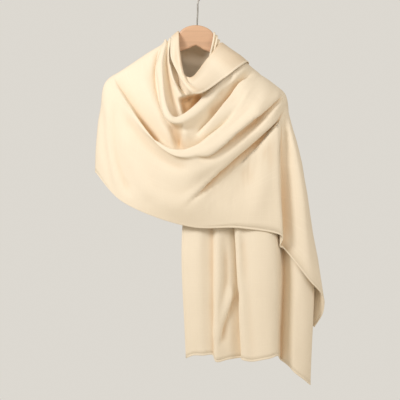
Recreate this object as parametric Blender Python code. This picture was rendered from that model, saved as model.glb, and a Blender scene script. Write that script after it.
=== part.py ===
"""A linen scarf wound once round a wooden clothes hanger.

The scarf starts as a tail that hangs in front on the right, goes up over the right arm of the hanger, round
behind the neck, down over the left arm and across the front in three cowls, then over the right arm again,
and ends as a tail that hangs down the right side and the back.

Sizes are in millimetres, and right and left are the viewer's. A place is (x, z, forward) or, where a table
says so, part of that: x to the right of the middle of the wood, z up from its top, and forward out of the
hanger's plane towards the viewer. The origin of the model is the inside of the hook.
"""

import math

import bmesh
import bpy
import numpy as np

MM = 0.001  # metres in a millimetre
LEAST_GAP = 1e-6  # between two points of a curve, so that it has a direction where they meet
HOOK_RISE = 110.0  # from the top of the wood to the inside of the hook, where a rail carries it
HOOK_X = 5.0  # how far to the right of the middle of the wood that place is
CLOTH = 1.5  # the wall of the cloth
SEAM_GAP = 1.0  # between two stretches of the scarf that meet edge to edge
LEAN_DEG = 3.0  # the hanger leans to the right, where both tails hang
CROWN = 3.5  # from the wood's top line up to the cloth that lies on it
BUNCH = 7.0  # how much higher the first stretch stands where it is bunched beside the neck
ROLL_SHARE = 0.05  # share of the scarf's width that is turned over at the neck on the left
BAND_SHARE = 0.12  # and on the right, where the turned part lies as a flat band

# The folds of the front drape, from the neck to the hem, each followed from the left shoulder to the right.
# Columns: share of the scarf's width, 1 for a ridge or -1 for a valley on the hidden sides, and the places
# of the fold at the left shoulder's crest (x, z), between that and its lowest point (x, z, forward), at its
# lowest point, between that and the right shoulder, and at the right shoulder's crest (x, z). The last
# three folds turn round the right arm, as ARM_TURN says.
FOLDS = (
    ("flap_edge", 0.00, 0, (-60, -28), (-58, -85, 42), (-5, -166, 99), (64, -128, 66), (122, -88)),
    ("flap_belly", 0.02, 0, (-52, -20), (-48, -85, 47), (-8, -160, 103), (52, -117, 65), (106, -74)),
    ("neck_roll", 0.05, 0, (-44, -15), (-39, -84, 43), (-13, -147, 96), (41, -106, 61), (90, -63)),
    ("roll_back", 0.08, 0, (-46, -21), (-42, -88, 34), (-14, -141, 88), (31, -96, 55), (74, -52)),
    ("neck_rim", 0.12, 0, (-50, -26), (-45, -93, 29), (-15, -127, 78), (22, -85, 48), (60, -42)),
    ("under_flap", 0.17, 1, (-55, -32), (-52, -102, 23), (-21, -168, 66), (26, -95, 40), (65, -51)),
    ("small_ridge", 0.22, 0, (-65, -30), (-65, -94, 41), (-23, -184, 83), (33, -104, 47), (76, -59)),
    ("upper_pocket", 0.28, -1, (-70, -40), (-71, -101, 26), (-34, -232, 81), (43, -118, 44), (88, -68)),
    ("upper_wall", 0.33, 0, (-72, -37), (-77, -99, 36), (-52, -230, 97), (50, -128, 52), (98, -76)),
    ("upper_rim", 0.36, 1, (-74, -34), (-83, -102, 46), (-54, -221, 108), (57, -134, 58), (114, -88)),
    ("upper_belly", 0.39, 1, (-77, -35), (-89, -109, 45), (-52, -234, 115), (71, -147, 66), (126, -97)),
    ("upper_foot", 0.44, -1, (-79, -40), (-93, -118, 34), (-47, -247, 103), (80, -182, 56), (134, -104)),
    ("shoulder_face", 0.49, 1, (-128, -73), (-121, -144, 48), (-45, -274, 94), (90, -194, 68), (144, -111)),
    ("lower_pocket", 0.56, -1, (-196, -118), (-155, -187, 38), (-45, -320, 84), (95, -200, 74), (150, -117)),
    ("lower_wall", 0.61, 0, (-199, -119), (-158, -189, 46), (-51, -305, 104), (99, -206, 78), (157, -122)),
    ("lower_rim", 0.64, 1, (-202, -121), (-161, -190, 53), (-52, -301, 118), (106, -214, 82), (168, -129)),
    ("lower_belly", 0.68, 1, (-208, -125), (-166, -199, 55), (-44, -313, 124), (120, -234, 84), (187, -143)),
    ("high_valley", 0.72, -1, (-219, -138), (-171, -225, 56), (-14, -322, 117), (124, -244, 66), (208, -161)),
    ("band_ridge", 0.76, 1, (-225, -158), (-177, -270, 59), (-8, -352, 115), (132, -261, 82), (214, -175)),
    ("low_valley", 0.81, -1, (-228, -194), (-181, -317, 60), (-22, -394, 103), (138, -281, 68), (212, -194)),
    ("panel_top", 0.86, 0, (-235, -232), (-182, -355, 61), (-21, -428, 100), (127, -305, 78), None),
    ("panel_middle", 0.93, 1, (-240, -289), (-181, -388, 62), (-19, -454, 90), (116, -409, 81), None),
    ("panel_hem", 1.00, 0, (-242, -350), (-177, -419, 62), (-17, -479, 79), (102, -482, 78), None),
)
# How the last folds go round the right arm, each place as (x, z, forward): the edge of the front panel, the
# return behind it, the bottom of the trough, the swell on the arm, the arm's outline, and the back half way
# down and at the end hem.
ARM_TURN = {
    "panel_top": (
        (190, -233, 59),
        (197, -235, 48),
        (203, -238, 37),
        (221, -248, 41),
        (227, -250, 6),
        (250, -470, -40),
        (256, -708, -54),
    ),
    "panel_middle": (
        (191, -383, 62),
        (195, -385, 51),
        (204, -388, 39),
        (250, -393, 45),
        (260, -395, 8),
        (273, -560, -18),
        (270, -712, -30),
    ),
    "panel_hem": (
        (202, -503, 63),
        (196, -526, 52),
        (204, -530, 39),
        (266, -606, 43),
        (299, -646, 24),
        (300, -683, 8),
        (279, -718, -6),
    ),
}
# The same folds in the front tail, from its inner edge to the outer one. Columns: x and forward at the front
# drape's hem, and x, z and forward at the end hem.
TAIL_FOLDS = (
    ("inner_edge", (-34, 56), (-26, -790, 50)),
    ("first_face", (-17, 61), (-9, -783, 56)),
    ("first_ridge", (7, 65), (14, -783, 60)),
    ("first_valley", (34, 56), (37, -782, 53)),
    ("second_ridge", (47, 66), (45, -798, 61)),
    ("second_face", (73, 57), (73, -793, 52)),
    ("pleat_bottom", (98, 44), (104, -789, 42)),
    ("pleat_inside", (93, 52), (110, -790, 50)),
    ("pleat_edge", (88, 65), (105, -792, 62)),
    ("pleat_lip", (96, 70), (114, -795, 68)),
    ("soft_valley", (109, 66), (130, -797, 68)),
    ("third_ridge", (139, 70), (154, -793, 71)),
    ("third_face", (168, 66), (174, -789, 69)),
    ("channel_lip", (183, 57), (188, -784, 61)),
    ("channel_wall", (191, 36), (193, -786, 37)),
    ("channel", (199, 10), (200, -797, 10)),
    ("outer_wall", (209, 20), (210, -804, 21)),
    ("outer_lip", (217, 31), (218, -811, 30)),
    ("outer_ridge", (229, 35), (230, -824, 38)),
    ("outer_face", (250, 32), (251, -840, 32)),
    ("outer_side", (268, 17), (269, -855, 15)),
    ("outer_back", (262, -6), (260, -842, -5)),
    ("outer_edge", (225, -14), (222, -811, -12)),
)
DRAPE_HEM = -482.0  # height of the front drape's hem where the front tail comes out below it
# How the scarf lies on the hanger's arms. Each line is a place beside one of a fold's crests, with a pair for
# the scarf's neck side and its hem side: x and z from the crest, and forward; then how much further forward a
# ridge lies, and the part that is turned over at the neck.
LEFT_ARM = {
    "behind": ((8, 12), (-32, 0), (-32, -32), 0, -8),
    "back_edge": ((0, 4), (-7, 0), (-13, -13), 0, -2),
    "crest": ((0, 0), (0, 0), (0, 0), 0, 0),
    "front_edge": ((0, 3), (-8, -2), (13, 13), 0, 0),
}
LEFT_TURN = (0.6, 0.9)  # shares of the width between which the neck side's form becomes the hem side's
RIGHT_ARM = {
    "crest": ((0, -5), (0, -6), (0, 26), 0, 0),
    "back_edge": ((1, 1), (-9, 0), (-26, 12), 0, -2),
    "behind": ((2, 6), (-50, -8), (-60, -5), 3, -9),
}
RIGHT_TURN = (0.68, 0.86)
# The way from a fold's right middle to its right crest: share of it, rise above the straight line on the neck
# side and the hem side, and share of the forward distance that is left there.
UP_TO_RIGHT_ARM = ((0.45, (2, -10), 0.86), (0.82, (3, -5), 0.50))
# Places on the back in the same columns, but from the middle of the wood's top.
BACK_RIGHT = ((18, 120), (-43, -300), (-34, -34), 2, -5)
BACK_MIDDLE = ((-25, -45), (-36, -420), (-48, -48), 8, -12)
BACK_MIDDLE_TURNED = -14  # how much lower the turned-over edge lies there
BACK_HALF_WAY = (0.6, -400, -80, 10, -24)  # share of the way to the end hem's x, z, forward, ridge, turned
BACK_END = (-700, -84, 14, -26)  # z, forward, ridge, turned
BACK_END_X = (84, 14, 275)  # x of the end hem at the turned-over edge, at the fold line and at the outer edge
BACK_END_STEP = 5  # how much higher a ridge's hem lies there
# The first stretch over the right arm. Two numbers are for the scarf's inner and outer edge.
FIRST_ARM_X = (39, 140)  # where it crosses the arm
FIRST_ARM = ((-10, 11), (0, 1), (-3, -9))  # z from the wood's top, and forward, in front, on top and behind
FIRST_SPREAD_X = (-34, 268)  # where it lies once it is spread out below
FIRST_BELOW_Z = (-150, -230)  # height of the next place below the arm
FIRST_BELOW = (0.35, 20, 0.25)  # there: share of the spread, forward at the wood, and share of the way out
BUNCH_SHARES = (0.0, 0.05, 0.1, 0.2)  # across the scarf: the bunched part rises, stands, and lies down again

# The hanger, before it leans. Columns: from the middle outwards, height of the top line, height of the wood.
HANGER_LINE = (
    (0, 0, 49),
    (18, -3, 55),
    (32, -10, 53),
    (41, -20, 48),
    (50, -39, 38),
    (70, -57, 34),
    (100, -79, 32),
    (160, -125, 26),
    (202, -156, 21),
)
HANGER_THICK = 13.0
HANGER_EDGE = 4.0  # how far the wood's edges are rounded
HOOK_RADIUS = 22.0  # of the round part, to the middle of the wire
HOOK_START, HOOK_END = -60.0, 205.0  # its ends, in degrees from the right, upwards
WIRE = 3.6  # diameter of the hook's wire
STEM_SUNK = 16.0  # how deep the wire sits in the wood
STEM_STRAIGHT = 57.0  # its straight part above the wood
STEM_POINTS, HOOK_POINTS = 4, 9  # places that the wire's curve goes through
SOCKET_GAP = 0.5  # round the wire in the wood

# Points from one station to the next, along the scarf, and from one fold to the next, across it.
TAIL_ROWS = (5, 4, 3, 2)
BACK_ROWS = (2, 3, 4, 3, 2, 2)
DRAPE_ROWS = (2, 4, 5, 5, 3, 2, 3, 3)
SHOULDER_ROWS = (3, 5, 5)
ACROSS = 2
WOOD_STEPS, WIRE_STEPS = 2, 3  # and between the hanger's own places

CREAM = (0.89, 0.79, 0.64)
BEECH = (0.66, 0.42, 0.25)
STEEL = (0.55, 0.55, 0.56)


def blend(a, b, share):
    return a + (b - a) * share


def smooth(low, high, value):
    t = min(max((value - low) / (high - low), 0.0), 1.0)
    return t * t * (3 - 2 * t)


def place(points):
    """Points (x, z, forward) in millimetres as world coordinates in metres."""
    points = np.asarray(points, float)
    x = points[..., 0] - HOOK_X
    z = points[..., 1] - HOOK_RISE
    return np.stack([x, -points[..., 2], z], axis=-1) * MM


def spline(knots, steps):
    """Points on centripetal Catmull-Rom curves. knots[i, j] is the i-th point that the j-th curve goes
    through, and steps[i] the number of points from there to the next. The last knot comes after them."""
    knots = np.asarray(knots, float)
    before = 2 * knots[0] - knots[1]
    after = 2 * knots[-1] - knots[-2]
    knots = np.concatenate([before[None], knots, after[None]])
    rows = []
    for i, count in enumerate(steps):
        p0, p1, p2, p3 = knots[i : i + 4]
        sides = (p1 - p0, p2 - p1, p3 - p2)
        gap1, gap2, gap3 = (np.linalg.norm(side, axis=-1, keepdims=True) for side in sides)
        t1 = np.maximum(gap1, LEAST_GAP) ** 0.5
        t2 = t1 + np.maximum(gap2, LEAST_GAP) ** 0.5
        t3 = t2 + np.maximum(gap3, LEAST_GAP) ** 0.5
        for k in range(count):
            t = blend(t1, t2, k / count)
            a1 = blend(p0, p1, t / t1)
            a2 = blend(p1, p2, (t - t1) / (t2 - t1))
            a3 = blend(p2, p3, (t - t2) / (t3 - t2))
            b1 = blend(a1, a2, t / t2)
            b2 = blend(a2, a3, (t - t1) / (t3 - t1))
            rows.append(blend(b1, b2, (t - t1) / (t2 - t1)))
    rows.append(knots[-2])
    return np.array(rows)


def lean(x, z):
    """A point of the hanger, turned about the middle of the wood's top."""
    angle = math.radians(LEAN_DEG)
    return x * math.cos(angle) + z * math.sin(angle), z * math.cos(angle) - x * math.sin(angle)


def wood_top(x):
    """Height of the leaning hanger's top line at x."""
    line = sorted(lean(side * out, top) for side in (-1, 1) for out, top, _ in HANGER_LINE)
    return float(np.interp(x, [p[0] for p in line], [p[1] for p in line]))


def neck_turn(share, fold_line):
    """How far out a fold is on the part turned over at the neck, and how far down on the rest."""
    return max(1 - share / fold_line, 0), max(share - fold_line, 0) / (1 - fold_line)


def on_right_arm(share):
    """The place on the hanger's right arm that the first stretch goes over, gathered under the drape."""
    x = blend(*FIRST_ARM_X, share)
    start, full, fall, end = BUNCH_SHARES
    bunched = smooth(start, full, share) * (1 - smooth(fall, end, share))
    return x, wood_top(x) + CROWN + BUNCH * bunched


def beside(anchor, line, share, kind, turned):
    """A place beside a point (x, z), from one line of the tables of the hanger's arms."""
    across, up, forward, ridge, turned_out = line
    x, z = anchor
    out = blend(*forward, share) + ridge * kind + turned_out * turned
    return x + blend(*across, share), z + blend(*up, share), out


def up_the_front(share, end, drape_hem):
    """The places of a fold of the front tail, from its end hem up to the hanger's right arm."""
    x, z = on_right_arm(share)
    hem_x, hem_forward = drape_hem
    spread, at_wood, out = FIRST_BELOW
    below_x = blend(x, blend(*FIRST_SPREAD_X, share), spread)
    below = (below_x, blend(*FIRST_BELOW_Z, share), blend(at_wood, hem_forward, out))
    front, top, _ = FIRST_ARM
    return [end, (hem_x, DRAPE_HEM, hem_forward), below, (x, z + front[0], front[1]), (x, z + top[0], top[1])]


def behind_neck(share, kind, left_crest):
    """The places of a fold from the right arm, round the back, to the left arm."""
    arm_x, arm_z = on_right_arm(share)
    drop, behind = FIRST_ARM[-1]
    beside_wood = smooth(*LEFT_TURN, share)
    turned, down = neck_turn(share, ROLL_SHARE)
    right = beside((0, 0), BACK_RIGHT, share, kind, turned)
    x, _, forward = beside((0, 0), BACK_MIDDLE, share, kind, turned)
    z = blend(*BACK_MIDDLE[1], down) + BACK_MIDDLE_TURNED * turned
    left = [beside(left_crest, LEFT_ARM[name], beside_wood, kind, turned) for name in ("behind", "back_edge")]
    return [(arm_x, arm_z + drop, behind), right, (x, z, forward), *left]


def across_the_front(share, left_crest, left_middle, lowest, right_middle):
    """The places of a fold from the left arm to the right half of the front."""
    beside_wood = smooth(*LEFT_TURN, share)
    left = [beside(left_crest, LEFT_ARM[name], beside_wood, 0, 0) for name in ("crest", "front_edge")]
    return [*left, left_middle, lowest, right_middle]


def over_right_arm(share, kind, right_middle, right_crest):
    """The places of an upper fold from the front, over the right arm and down the back to the end hem."""
    x, z = right_crest
    mid_x, mid_z, forward = right_middle
    turned, down = neck_turn(share, BAND_SHARE)
    lower = smooth(*RIGHT_TURN, share)
    up = []
    for part, rise, left in UP_TO_RIGHT_ARM:
        up.append((blend(mid_x, x, part), blend(mid_z, z, part) + blend(*rise, lower), forward * left))
    over = [beside(right_crest, line, lower, kind, turned) for line in RIGHT_ARM.values()]
    turned_x, fold_x, outer_x = BACK_END_X
    end_x = fold_x + (turned_x - fold_x) * turned + (outer_x - fold_x) * down
    part, half_z, half_forward, half_ridge, half_turned = BACK_HALF_WAY
    half = (blend(x, end_x, part), half_z, half_forward + half_ridge * kind + half_turned * turned)
    end_z, end_forward, end_ridge, end_turned = BACK_END
    end = (end_x, end_z + BACK_END_STEP * kind, end_forward + end_ridge * kind + end_turned * turned)
    return [*up, *over, half, end]


def scarf_places():
    """The places of the folds, by station and fold, from the front tail's hem to the shoulder tail's."""
    folds = []
    for fold, tail in zip(FOLDS, TAIL_FOLDS):
        name, share, kind, left_crest, left_middle, lowest, right_middle, right_crest = fold
        _, drape_hem, end = tail
        stations = up_the_front(share, end, drape_hem)
        stations += behind_neck(share, kind, left_crest)
        stations += across_the_front(share, left_crest, left_middle, lowest, right_middle)
        if right_crest:
            stations += over_right_arm(share, kind, right_middle, right_crest)
        else:
            stations += ARM_TURN[name]
        folds.append(stations)
    return np.array(folds, float).transpose(1, 0, 2)


def draw_back(sheet, end, inner):
    """Draws an end of a sheet back by half of the gap at a seam."""
    step = sheet[inner] - sheet[end]
    sheet[end] += step * (SEAM_GAP / 2) / np.linalg.norm(step, axis=-1, keepdims=True)


def finish(obj, colour, roughness, metallic):
    """Gives an object its own material."""
    material = bpy.data.materials.new(obj.name)
    material.use_nodes = True
    shader = material.node_tree.nodes["Principled BSDF"]
    shader.inputs["Base Color"].default_value = (*colour, 1)
    shader.inputs["Roughness"].default_value = roughness
    shader.inputs["Metallic"].default_value = metallic
    obj.data.materials.append(material)


def new_object(name, data):
    obj = bpy.data.objects.new(name, data)
    bpy.context.scene.collection.objects.link(obj)
    return obj


def add_cloth(name, points):
    """One stretch of the scarf: a wall of cloth on a grid of points."""
    rows, columns = points.shape[:2]
    mesh = bpy.data.meshes.new(name)
    grid = bmesh.new()
    bmesh.ops.create_grid(grid, x_segments=columns - 1, y_segments=rows - 1, size=0.5)
    for vertex in grid.verts:
        column = round((vertex.co.x + 0.5) * (columns - 1))
        row = round((vertex.co.y + 0.5) * (rows - 1))
        vertex.co = place(points[row, column])
    grid.to_mesh(mesh)
    grid.free()
    mesh.shade_smooth()
    stretch = new_object(name, mesh)
    wall = stretch.modifiers.new("wall", "SOLIDIFY")
    wall.thickness = CLOTH * MM
    wall.offset = 0.0
    finish(stretch, CREAM, 0.9, 0.0)


def add_scarf():
    """The scarf in the four stretches that show, cut from one sheet at the crests of the hanger's arms."""
    stretches = {
        "front_tail": TAIL_ROWS,
        "back_stretch": BACK_ROWS,
        "front_drape": DRAPE_ROWS,
        "shoulder_tail": SHOULDER_ROWS,
    }
    places = scarf_places()
    rows = spline(places, [count for part in stretches.values() for count in part])
    sheet = spline(rows.transpose(1, 0, 2), [ACROSS] * (places.shape[1] - 1)).transpose(1, 0, 2)
    first = 0
    for name, counts in stretches.items():
        last = first + sum(counts)
        points = sheet[first : last + 1].copy()
        if first > 0:
            draw_back(points, 0, 1)
        if last < len(sheet) - 1:
            draw_back(points, -1, -2)
        add_cloth(name, points)
        first = last


def add_hanger_bar():
    """The wooden bar, with a hole for the hook's wire in the middle of its top."""
    right = [(out, top, tall) for out, top, tall in HANGER_LINE]
    line = [(-out, top, tall) for out, top, tall in reversed(right[1:])] + right
    curve = spline(line, [WOOD_STEPS] * (len(line) - 1))
    upper = [(x, top) for x, top, _ in curve]
    lower = [(x, top - tall) for x, top, tall in reversed(curve)]
    mesh = bpy.data.meshes.new("hanger_bar")
    outline = bmesh.new()
    corners = [(x * MM, -HANGER_THICK / 2 * MM, z * MM) for x, z in upper + lower]
    front = outline.faces.new([outline.verts.new(corner) for corner in corners])
    pulled = bmesh.ops.extrude_face_region(outline, geom=[front])
    back = [v for v in pulled["geom"] if isinstance(v, bmesh.types.BMVert)]
    bmesh.ops.translate(outline, verts=back, vec=(0, HANGER_THICK * MM, 0))
    bmesh.ops.recalc_face_normals(outline, faces=outline.faces)
    outline.to_mesh(mesh)
    outline.free()
    mesh.set_sharp_from_angle(angle=math.radians(50))
    bar = new_object("hanger_bar", mesh)
    bar.location = place((0, 0, 0))
    bar.rotation_euler.y = math.radians(LEAN_DEG)
    edges = bar.modifiers.new("edges", "BEVEL")
    edges.width = HANGER_EDGE * MM
    edges.segments = 2
    edges.limit_method = "ANGLE"
    edges.angle_limit = math.radians(60)

    hole = bmesh.new()
    depth = 2 * (STEM_SUNK + SOCKET_GAP) * MM
    radius = (WIRE / 2 + SOCKET_GAP) * MM
    bmesh.ops.create_cone(hole, cap_ends=True, segments=16, radius1=radius, radius2=radius, depth=depth)
    cutter_mesh = bpy.data.meshes.new("socket")
    hole.to_mesh(cutter_mesh)
    hole.free()
    cutter = new_object("socket", cutter_mesh)
    cutter.parent = bar
    cutter.hide_render = True
    cutter.display_type = "WIRE"
    socket = bar.modifiers.new("socket", "BOOLEAN")
    socket.operation = "DIFFERENCE"
    socket.object = cutter
    finish(bar, BEECH, 0.5, 0.0)


def add_hanger_hook():
    """The wire hook: a straight stem that leans with the wood, and a round part over the rail."""
    foot = lean(0, -STEM_SUNK)
    shoulder = lean(0, STEM_STRAIGHT)
    middle = (HOOK_X, HOOK_RISE + WIRE / 2 - HOOK_RADIUS)
    route = [blend(np.array(foot), np.array(shoulder), k / (STEM_POINTS - 1)) for k in range(STEM_POINTS)]
    for k in range(HOOK_POINTS):
        angle = math.radians(blend(HOOK_START, HOOK_END, k / (HOOK_POINTS - 1)))
        route.append((middle[0] + HOOK_RADIUS * math.cos(angle), middle[1] + HOOK_RADIUS * math.sin(angle)))
    route = spline([(x, z, 0) for x, z in route], [WIRE_STEPS] * (len(route) - 1))
    curve = bpy.data.curves.new("hanger_hook", "CURVE")
    curve.dimensions = "3D"
    curve.bevel_depth = WIRE / 2 * MM
    curve.bevel_resolution = 3
    curve.use_fill_caps = True
    wire = curve.splines.new("POLY")
    wire.points.add(len(route) - 1)
    for point, position in zip(wire.points, place(route)):
        point.co = (*position, 1)
    hook = new_object("hanger_hook", curve)
    finish(hook, STEEL, 0.35, 1.0)


def main():
    for obj in list(bpy.data.objects):
        bpy.data.objects.remove(obj)
    add_scarf()
    add_hanger_bar()
    add_hanger_hook()


main()
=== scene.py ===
"""A cream linen scarf, wound once round a wooden clothes hanger, in soft light from the left.

The scarf is one long sheet. It is drawn through the same folds as its solids, in millimetres from the middle
of the wood's top: x to the right, z up, and forward towards the viewer. Right and left are the viewer's.
"""

import math

import bmesh
import bpy
import numpy as np
from bpy.props import FloatProperty, FloatVectorProperty, PointerProperty
from mathutils import Matrix, Vector, noise


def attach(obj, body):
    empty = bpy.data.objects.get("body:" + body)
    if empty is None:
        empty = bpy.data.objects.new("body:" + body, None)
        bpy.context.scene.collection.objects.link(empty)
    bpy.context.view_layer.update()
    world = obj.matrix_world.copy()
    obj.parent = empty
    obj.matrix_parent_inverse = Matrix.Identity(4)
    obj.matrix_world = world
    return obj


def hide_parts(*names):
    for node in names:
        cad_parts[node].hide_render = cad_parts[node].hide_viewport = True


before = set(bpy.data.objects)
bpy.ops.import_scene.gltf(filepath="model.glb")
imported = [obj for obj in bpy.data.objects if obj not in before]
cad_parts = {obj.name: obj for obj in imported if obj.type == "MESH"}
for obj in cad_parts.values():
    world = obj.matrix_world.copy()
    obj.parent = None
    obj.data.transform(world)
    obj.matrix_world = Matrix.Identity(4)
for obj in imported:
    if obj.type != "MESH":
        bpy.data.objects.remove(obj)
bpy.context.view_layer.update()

bl_info = {
    "name": "Linen scarf on a hanger",
    "version": (1, 0, 0),
    "blender": (4, 5, 0),
    "location": "3D View > Sidebar > Scarf",
    "description": "Dresses a wound linen scarf and its wooden hanger",
    "category": "Object",
}

MM = 0.001
LEAST_GAP = 1e-6  # between two points of a curve, so that it has a direction where they meet
LEAST_NORMAL = 1e-9  # the shortest length that a normal is divided by
MERGE_GAP = 1e-6  # in metres: two points of a closed tube that are as near as this are one
ROOT = "root"
CLOTH_MAP = "cloth"
# name of the attribute that holds how much golden shade is painted into each point
PAINTED_SHADE_ATTRIBUTE = "hollow"
WEAVE = "plain weave"

CUT = (0.62, 2.0)  # the flat scarf's width and length, hems folded, in metres
CREASE_ENDS = 0.22  # share of a crease over which it fades out at each end
PAST_END = 12.0  # how far past its ends it fades to nothing, in millimetres
STATION_EDGE = 0.3  # how many stations on each side of its first and last one it takes to fade out
POCKET_EDGE = 0.03  # the same for a pocket, across the scarf, as a share of its width
END_SOFTNESS = 3.0  # how much more a lapped fold's edge is spread where it fades out
# Painted shade goes into the hollows, measured from an averaged shape: how many times it is averaged, and the
# depth in millimetres at which a hollow takes the full painted shade. Small and large hollows count alike.
SHADED_HOLLOWS = ((14, 6.5), (70, 17.0))
DEEPER = 1.25  # more than 1 keeps the painted golden shade to the deep hollows
POCKET_SHADE_DEPTH = 24.0  # depth in millimetres at which a pocket takes the full painted shade
# The section of the hem, from the cloth's edge: inwards, and out of the face, in millimetres.
HEM_SECTION = (
    (-0.8, -0.2),
    (-0.45, 0.5),
    (0.3, 0.72),
    (3.6, 0.68),
    (4.3, 0.35),
    (4.3, -0.6),
    (3.8, -1.05),
    (0.4, -1.15),
    (-0.45, -0.8),
)
# Stitches, in millimetres.
STITCH = (2.3, 0.45, 2.2)  # length, width and depth
STITCH_PITCH = 3.1
STITCH_INSET = 3.1
STITCH_AIM = 1.0  # the direction of a stitch is that of the hem's edge over this length on each side of it
STITCH_RUN = 60  # stitches made in one small mesh, because the operator slows down as a mesh grows

# Noise patterns. Columns: how many times one changes in a metre along each axis, and its detail.
PATTERNS = {
    "thread_wander": ((160.0, 160.0, 1.0), 2.0),
    "thick_warp": ((1100.0, 14.0, 1.0), 2.0),
    "thick_weft": ((16.0, 1000.0, 1.0), 2.0),
    "uneven_dye": ((7.0, 5.0, 1.0), 3.0),
    "wood_grain": ((7.0, 60.0, 150.0), 5.0),
    "wood_flecks": ((260.0, 900.0, 1500.0), 1.0),
    "wood_bands": ((2.0, 10.0, 26.0), 2.0),
    "drawn_lines": ((3500.0, 3500.0, 90.0), 2.0),
}
NOISE_SPAN = (0.3, 0.7)  # nearly all of a pattern lies between these values

# The linen.
THREADS = 1900.0  # threads in a metre
THREAD_WANDER = 1.6  # how far the threads stray from straight, in radians of the weave
THICK_SPAN = (0.56, 0.74)  # values of the pattern between which a plain thread becomes a thick one
CHECK_HEIGHT = 0.5  # height of the weave's checks, where a thick thread's is 1
WEAVE_SHADE = (0.42, 0.12, 0.4)  # the plain cloth's, what a check adds as painted light and shade, and what a thick thread adds as its own tone
WEAVE_SPAN = (0.3, 0.8)  # the shades from the gaps between threads to the thick threads
DYE_SHADE = (-0.12, 0.12)  # what the uneven dye adds to the shade
THREAD_TINT = 1.035  # the linen's colour is multiplied by this on its threads
GAP_SHADE_TINT = (0.955, 0.94, 0.91)  # and by this in the gaps between them, as painted shade
PAINTED_SHADE_TINT = (0.73, 0.51, 0.30)  # and by this in a hollow: painted golden shade, standing for the light that goes from cloth to cloth
HEM_SHADE = 0.99  # the doubled cloth of the hems looks a little deeper
LINEN_ROUGHNESS = (0.93, 0.8)  # in the gaps and on the thick threads
LINEN_BUMP = (0.45, 0.00018)  # strength, and height in metres
LINEN_FINISH = {
    "Specular IOR Level": 0.2,
    "Sheen Weight": 0.22,
    "Sheen Roughness": 0.45,
    "Sheen Tint": (1.0, 0.93, 0.82, 1.0),
}

# The hanger's wood and wire.
GRAIN_TURN = math.radians(3)  # the grain runs out of the bar's front at a small angle
FLECK_SPAN = (0.66, 0.74)  # values of the pattern between which the wood becomes a fleck
WOOD_TONE = (0.6, 0.4, 0.25)  # how much the grain and the bands count, and how much a fleck takes away
WOOD_TINTS = ((0.25, 0.80), (0.75, 1.14))  # a tone, and what the wood's colour is multiplied by there
WOOD_ROUGHNESS = (0.52, 0.4)
WOOD_BUMP = (0.25, 0.0002)
WOOD_FINISH = {"Coat Weight": 0.12, "Coat Roughness": 0.35}
WIRE_TINTS = ((0.0, 0.85), (1.0, 1.0))
WIRE_ROUGHNESS = (0.24, 0.42)
WIRE_FINISH = {"Metallic": 1.0}

# The stage, in metres.
FLOOR_RADIUS = 2.4
FLOOR_SIDES = 96
FLOOR_Z = -1.5
FLOOR_COLOR = (0.75, 0.72, 0.66)
# Columns: name, place, diameter and power in watts.
LIGHTS = (
    ("key", (-1.3, -1.25, 0.45), 0.7, 22.5),
    ("side", (2.2, -1.6, 0.2), 1.2, 11.5),
    ("top", (0.3, -2.4, 0.9), 1.2, 9.0),
)
VIEW_MIDDLE = (7.1, -416.2, 40)  # in millimetres, as the folds' places are
VIEW_DISTANCE = 8.0
IMAGE_WIDTH = 400  # pixels
PIXEL = 2.365  # size of a pixel at the hanger, in millimetres
SCALE_AHEAD = 0.01  # how far in front of the middle of the view a pixel has that size
SENSOR = 36.0  # the camera's width in millimetres

# The hanger, and how the scarf lies on it.
HOOK_RISE = 110.0  # from the top of the wood to the inside of the hook
HOOK_X = 5.0  # how far to the right of the middle of the wood that place is
LEAN_DEG = 3.0  # the hanger leans to the right
CROWN = 3.5  # from the wood's top line up to the cloth that lies on it
BUNCH = 7.0  # how much higher the first stretch stands where it is bunched beside the neck
ROLL_SHARE = 0.05  # share of the scarf's width that is turned over at the neck on the left
BAND_SHARE = 0.12  # and on the right, where the turned part lies as a flat band

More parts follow.
